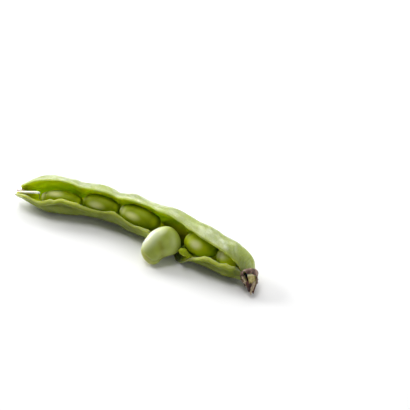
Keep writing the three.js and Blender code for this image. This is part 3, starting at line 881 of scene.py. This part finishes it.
def build_strips(material):
    """The strips, as thin curled bands with rough surfaces."""
    count, sides = 40, 14
    turns = np.linspace(0, 2 * math.pi, sides, endpoint=False)
    parts, tones = [], []
    for number, (tone, path) in enumerate(STRIPS):
        table = np.column_stack([np.linspace(0, 1, len(path)), path])
        reach, angle, radius, width = along(table, np.linspace(0, 1, count)).T
        centre_line = around_stalk(reach, angle, radius)
        radius = radius + 0.35 * ripple(centre_line, 1.3, 90 + number)
        width = width * (1 + 0.5 * ripple(centre_line, 1.1, 100 + number))
        centre_line = around_stalk(reach, angle, radius)
        axis_line = around_stalk(reach, angle, np.zeros(count))
        across = unit(around_stalk(reach, angle + 90, np.ones(count)) - axis_line)
        away = unit(around_stalk(reach, angle, np.ones(count)) - axis_line)
        curl = 0.6 * ripple(centre_line, 1.6, 60 + number)
        thick = 0.32 * np.minimum(1, width / 0.4)
        lift = curl[:, None] * np.cos(turns) + thick[:, None] * np.sin(turns)
        rings = centre_line[:, None] + across[:, None] * (width[:, None] * np.cos(turns))[..., None]
        rings = rings + away[:, None] * lift[..., None]
        rings = rings + 0.3 * away[:, None] * ripple(rings, 0.8, 80 + number)[..., None]
        parts.append((rings.reshape(-1, 3), tube_faces(count, sides, turned=False)))
        tones.append(np.full(count * sides, tone))
    points, faces = joined(parts)
    add_mesh("withered_strips", points, faces, material, "dried_flower", tone=np.concatenate(tones))


# ---- materials


def srgb(red, green, blue):
    """A colour given as 0 to 255 on screen, as the linear numbers that shaders use."""
    share = np.array([red, green, blue]) / 255
    linear = np.where(share <= 0.04045, share / 12.92, ((share + 0.055) / 1.055) ** 2.4)
    return (*linear, 1.0)


class Look:
    """A material with a Principled shader, and short calls that add the nodes in front of it.
    Colours are given as on screen, from 0 to 255."""

    def __init__(self, name, **constants):
        self.material = bpy.data.materials.new(name)
        self.material.use_nodes = True
        self.tree = self.material.node_tree
        self.shader = self.tree.nodes["Principled BSDF"]
        self.finish(**constants)

    def finish(self, **inputs):
        """Sets or links the shader's sockets, named in small letters with underscores."""
        for key, value in inputs.items():
            socket = key.replace("_", " ").title().replace("Ior", "IOR")
            self.put(self.shader.inputs[socket], value)
        return self.material

    def put(self, socket, value):
        if isinstance(value, bpy.types.NodeSocket):
            self.tree.links.new(value, socket)
        else:
            socket.default_value = value

    def node(self, kind, inputs=None, **settings):
        made = self.tree.nodes.new("ShaderNode" + kind)
        for key, value in settings.items():
            setattr(made, key, value)
        for key, value in (inputs or {}).items():
            self.put(made.inputs[key], value)
        return made

    def attribute(self, name, output="Fac"):
        return self.node("Attribute", attribute_name=name).outputs[output]

    def part(self, vector, axis):
        return self.node("SeparateXYZ", {0: vector}).outputs[axis]

    def math(self, operation, *values):
        return self.node("Math", dict(enumerate(values)), operation=operation).outputs[0]

    def times(self, a, b):
        return self.math("MULTIPLY", a, b)

    def ramp(self, value, low, high):
        """From 0 at low to 1 at high, with soft ends. The value may be the name of an attribute."""
        value = self.attribute(value) if isinstance(value, str) else value
        inputs = {"Value": value, "From Min": low, "From Max": high}
        return self.node("MapRange", inputs, interpolation_type="SMOOTHSTEP").outputs[0]

    def noise(self, vector, size, detail, low=0.3, high=0.7, turn=0.0, rough=0.55):
        """Noise of that feature size along each axis once the coordinates are turned by some degrees, with
        its middle range from low to high spread out to 0 to 1."""
        turned = self.node("Mapping", {"Vector": vector, "Rotation": (0, 0, math.radians(turn))})
        scale = tuple(1 / part for part in size)
        scaled = self.node("Mapping", {"Vector": turned.outputs[0], "Scale": scale})
        inputs = {"Vector": scaled.outputs[0], "Scale": 1.0, "Detail": detail, "Roughness": rough}
        return self.ramp(self.node("TexNoise", inputs).outputs[0], low, high)

    def grain(self, size, detail):
        """Noise of that feature size in millimetres, which stays with the piece."""
        return self.noise(self.node("TexCoord").outputs["Object"], [part * MM for part in size], detail)

    def mix(self, factor, first, second):
        made = self.node("Mix", data_type="RGBA")
        for index, value in ((0, factor), (6, first), (7, second)):
            self.put(made.inputs[index], srgb(*value) if isinstance(value, tuple) else value)
        return made.outputs[2]

    def layers(self, colour, *layers):
        """The colour with others laid over it, each after how far it covers what is below."""
        for cover, upper in layers:
            colour = self.mix(cover, colour, upper)
        return colour

    def bump(self, height, distance, strength, **normal):
        inputs = {"Height": height, "Distance": distance * MM, "Strength": strength, **normal}
        return self.node("Bump", inputs).outputs[0]


def pod_look():
    """Waxy green with a pale bloom in blotches outside that is partly a painted highlight, a front valve
    painted a deeper green partly as shade, a wetter yellow-green lining with painted shade deep inside, and
    pale lips.
    """
    light = {"subsurface_weight": 0.9, "subsurface_scale": 11 * MM, "subsurface_radius": (1.1, 1.0, 0.12)}
    look = Look("broad_bean_pod", **light, specular_ior_level=0.25, coat_roughness=0.34, coat_ior=2.2)
    flow = look.attribute("flow", "Vector")
    side = look.part(flow, 1)  # below 0 on the front valve
    lining, edge, deep, gloss = map(look.attribute, ("lining", "edge", "deep", "gloss"))
    patches = look.noise(flow, (14, 9, 9), 2, 0.35, 0.65, turn=20)
    blotches = look.noise(flow, (9, 4.5, 5), 3, 0.36, 0.64, turn=-32, rough=0.6)
    specks = look.noise(flow, (0.9, 0.7, 0.9), 2, 0.35, 0.75)
    skin = look.layers(
        look.mix(patches, (134, 148, 62), (150, 165, 80)),
        # pale bloom in blotches where the skin is glossy, partly a painted highlight
        (look.times(look.times(blotches, 0.5), gloss), (192, 202, 162)),
        (look.times(specks, 0.26), (206, 219, 160)),
        # the front valve: a deeper green with less bloom, partly painted shade for the side that faces away
        # from the lamps
        (look.times(look.ramp(side, -1.0, -9.0), 0.9), look.mix(patches, (116, 128, 20), (130, 143, 34))),
        # the skin's deeper green at its point, and painted shade on the front lip near the ends and where
        # torn
        (deep, (84, 92, 50)),
    )
    inside = look.layers(
        look.mix(patches, (194, 216, 4), (208, 228, 10)),
        (look.times(specks, 0.2), (210, 226, 40)),
        # painted shade deep in the lining; the holder's own deeper green
        (deep, (72, 88, 10)),
    )
    lip = look.mix(look.ramp(side, -1.0, 1.0), (196, 206, 126), (158, 176, 84))
    colour = look.layers(skin, (lining, inside), (look.times(edge, 0.65), lip))

    fine = look.noise(flow, (0.5, 0.4, 0.5), 3, 0.2, 0.8, turn=-30)
    veins = look.noise(flow, (3.4, 1.6, 1), 2, 0.2, 0.8, turn=-32)
    normal = look.bump(veins, 0.12, 0.8, Normal=look.bump(fine, 0.06, 0.5))
    shine = look.times(look.math("SUBTRACT", 1.0, lining), look.ramp(side, -9.0, 0.0))
    shine = look.times(shine, look.math("MULTIPLY_ADD", blotches, 0.65, 0.35))
    shine = look.times(look.times(shine, look.ramp(edge, 0.9, 0.1)), gloss)
    rough = look.math("MULTIPLY_ADD", blotches, -0.14, 0.46)
    return look.finish(base_color=colour, roughness=rough, normal=normal, coat_weight=shine)


def bean_skin(look, *greens):
    """Coordinates on a bean, its green in soft patches of two shades and the faint grain of its skin."""
    own = look.attribute("own", "Vector")
    green = look.mix(look.noise(own, (9, 9, 9), 2, 0.35, 0.65), *greens)
    return own, green, look.bump(look.noise(own, (0.5, 0.5, 0.5), 3, 0.2, 0.8), 0.04, 0.3)


def bedded_bean_look():
    """Yellow-green, with painted highlights as pale patches on the open side, a painted glow of brighter
    green where the lining shades it, and painted shade in the groove by its lobe.
    """
    light = {"subsurface_weight": 0.95, "subsurface_scale": 7 * MM, "subsurface_radius": (1.0, 1.0, 0.3)}
    sheen = {"sheen_weight": 0.5, "sheen_roughness": 0.5, "sheen_tint": srgb(190, 205, 30)}
    look = Look("bedded_bean_skin", **light, **sheen, specular_ior_level=0.1)
    _, green, normal = bean_skin(look, (132, 148, 2), (144, 160, 6))
    colour = look.layers(
        green,
        # painted glow where the lining shades the bean
        (look.attribute("painted_glow"), (222, 238, 6)),
        # painted highlights on the open side
        (look.attribute("pale"), (216, 218, 152)),
        # painted shade in the groove by the lobe
        (look.times(look.attribute("fold"), 0.25), (96, 104, 10)),
    )
    return look.finish(base_color=colour, roughness=0.42, normal=normal)


def loose_bean_look():
    """Grey-green, with a painted highlight where the bean turns up, its scar, painted shade in the fold
    beside it and a yellower end.
    """
    light = {"subsurface_weight": 0.9, "subsurface_scale": 4 * MM, "subsurface_radius": (1.1, 1.0, 0.3)}
    look = Look("loose_bean_skin", **light, specular_ior_level=0.6)
    own, green, normal = bean_skin(look, (164, 178, 76), (178, 192, 94))
    away = look.node("VectorMath", {0: own, 1: HIGHLIGHT_PLACE}, operation="SUBTRACT").outputs[0]
    away = look.node("VectorMath", {0: away, 1: HIGHLIGHT_REACH}, operation="DIVIDE").outputs[0]
    away = look.node("VectorMath", {0: away}, operation="LENGTH").outputs["Value"]
    colour = look.layers(
        green,
        # painted highlight where the bean turns up
        (look.ramp(away, 0.95, 0.25), (226, 232, 202)),
        # painted shade in the fold
        (look.times(look.attribute("fold"), 0.45), (150, 150, 40)),
        (look.ramp(look.part(own, 0), -7.5, -10.5), (176, 180, 66)),
        (look.ramp("scar", 0.45, 0.95), (122, 94, 48)),
    )
    return look.finish(base_color=colour, roughness=0.3, normal=normal)


def thread_look():
    """White and green fibre, the purple style and its dark nub, by the tone."""
    look = Look("seam_fibre", roughness=0.5, subsurface_weight=0.3, subsurface_scale=1.0 * MM)
    spots = look.grain((2, 0.6, 0.6), 3)
    colour = look.layers(
        look.mix(spots, (224, 228, 200), (250, 250, 238)),
        (look.ramp("tone", 0.0, 1.0), (100, 116, 16)),
        (look.ramp("tone", PURPLE - 0.8, PURPLE - 0.2), look.mix(spots, (150, 112, 118), (206, 180, 182))),
        (look.ramp("tone", DARK - 0.8, DARK - 0.2), look.mix(spots, (44, 50, 36), (96, 100, 70))),
    )
    return look.finish(base_color=colour, normal=look.bump(spots, 0.08, 0.5))


def cup_look():
    """Dark brown with painted shade in the wrinkles, and a painted highlight of pink-brown on their crests.
    """
    look = Look("dried_flower_cup", roughness=0.45, specular_ior_level=0.6)
    dark = look.mix(look.grain((1.1, 1.1, 0.7), 4), (24, 10, 4), (108, 70, 50))
    # painted shade in the wrinkles, painted highlight on the crests
    colour = look.mix(look.times(look.ramp("tone", -0.3, 0.5), 0.75), dark, (206, 170, 150))
    return look.finish(base_color=colour, normal=look.bump(look.grain((0.3, 0.3, 0.5), 3), 0.12, 0.7))


def stalk_look():
    """Pale green with a cream rim, painted shade where the rim meets the cup, brown at the end, and
    near-black painted shade in the split.
    """
    look = Look("broken_stalk", roughness=0.5, subsurface_weight=0.2, subsurface_scale=0.8 * MM)
    spots = look.grain((0.8, 0.8, 1.6), 3)
    colour = look.layers(
        look.mix(spots, (172, 160, 84), (214, 200, 136)),
        (look.ramp("reach", 4.7, 3.9), (250, 244, 196)),
        # painted shade where the rim meets the cup
        (look.ramp("reach", 3.0, 2.6), (34, 20, 16)),
        (look.ramp("reach", 7.4, 9.0), look.mix(spots, (64, 30, 24), (150, 118, 90))),
        # near-black painted shade in the split
        (look.ramp("split", 0.25, 0.6), (20, 8, 8)),
    )
    return look.finish(base_color=colour, normal=look.bump(spots, 0.15, 0.6))


def strips_look():
    """Dark brown, olive and beige by the tone, with dark spots."""
    look = Look("withered_strips", roughness=0.6)
    spots = look.grain((0.5, 0.5, 1.4), 4)
    colour = look.layers(
        (48, 10, 2),
        (look.ramp("tone", 0.0, 0.35), (96, 54, 42)),
        (look.ramp("tone", 0.3, 0.6), (126, 110, 80)),
        (look.ramp("tone", 0.55, 0.95), (222, 200, 164)),
        (look.times(spots, 0.6), (52, 26, 20)),
    )
    return look.finish(base_color=colour, normal=look.bump(spots, 0.12, 0.7))


# ---- floor, lights and camera

WHITE = (1, 1, 1, 1)
FLOOR_REACH = 3  # in metres, like all the numbers of the softboxes
FLOOR_GREY = (0.9, 0.9, 0.9, 1)
FLOOR_GLOW = 0.03  # what camera, glossy and transmission rays see of the floor beyond its own light
SKY_STRENGTH = 0.02

# Softboxes that face the middle of the floor: place, size, power in watts.
SOFTBOXES = {
    "left": ((-1.078, 0.2, 0.488), (0.6, 0.5), 13),
    "back": ((-0.45, 0.8, 0.771), (1.0, 0.8), 10),
    "right": ((1.017, 0.216, 0.6), (1.3, 0.9), 6.5),
    "top": ((-0.2, 0.05, 1.18), (0.5, 0.5), 5.4),
}

# The camera's place and what it looks at, in millimetres, and its lens on its sensor.
CAMERA_PLACE = (235.07, -377.11, 369.30)
CAMERA_TARGET = (20.42, 44.16, -0.1)
LENS, SENSOR = 89.56, 36


def place_facing(thing, place, target):
    """Puts a lamp or a camera in its place, facing the target."""
    thing.location = place
    thing.rotation_mode = "QUATERNION"
    thing.rotation_quaternion = (Vector(target) - Vector(place)).to_track_quat("-Z", "Y")


def build_floor():
    mesh = bpy.data.meshes.new("floor")
    corners = [(-1, -1), (1, -1), (1, 1), (-1, 1)]
    mesh.from_pydata([(x * FLOOR_REACH, y * FLOOR_REACH, 0) for x, y in corners], [], [(0, 1, 2, 3)])
    floor = add_object("floor", mesh)
    look = Look("studio_floor", base_color=FLOOR_GREY, roughness=0.9, specular_ior_level=0.1)
    path = look.node("LightPath").outputs
    glossy = look.math("MAXIMUM", path["Is Glossy Ray"], path["Is Transmission Ray"])
    seen = look.math("MAXIMUM", path["Is Camera Ray"], glossy)
    look.finish(emission_color=WHITE, emission_strength=look.times(seen, FLOOR_GLOW))
    mesh.materials.append(look.material)


def build_world():
    world = bpy.data.worlds.new("studio")
    bpy.context.scene.world = world
    world.use_nodes = True
    background = world.node_tree.nodes["Background"]
    background.inputs["Color"].default_value = WHITE
    background.inputs["Strength"].default_value = SKY_STRENGTH


def add_softboxes():
    for name, (place, size, power) in SOFTBOXES.items():
        light = bpy.data.lights.new(name, "AREA")
        light.shape = "RECTANGLE"
        light.size, light.size_y = size
        light.energy = power
        place_facing(add_object(name, light), place, (0, 0, 0))


def add_camera():
    data = bpy.data.cameras.new("camera")
    data.lens, data.sensor_width = LENS, SENSOR
    data.clip_start, data.clip_end = 0.01, 20
    camera = add_object("camera", data)
    place_facing(camera, Vector(CAMERA_PLACE) * MM, Vector(CAMERA_TARGET) * MM)
    bpy.context.scene.camera = camera


# ---- the scene

bpy.context.scene.view_settings.view_transform = "Standard"

pod_material = pod_look()
build_pod(pod_material)
build_holder(pod_material)
build_beans()
build_thread(thread_look())
build_cup(cup_look())
build_stalk(stalk_look())
build_strips(strips_look())
build_floor()
build_world()
add_softboxes()
add_camera()
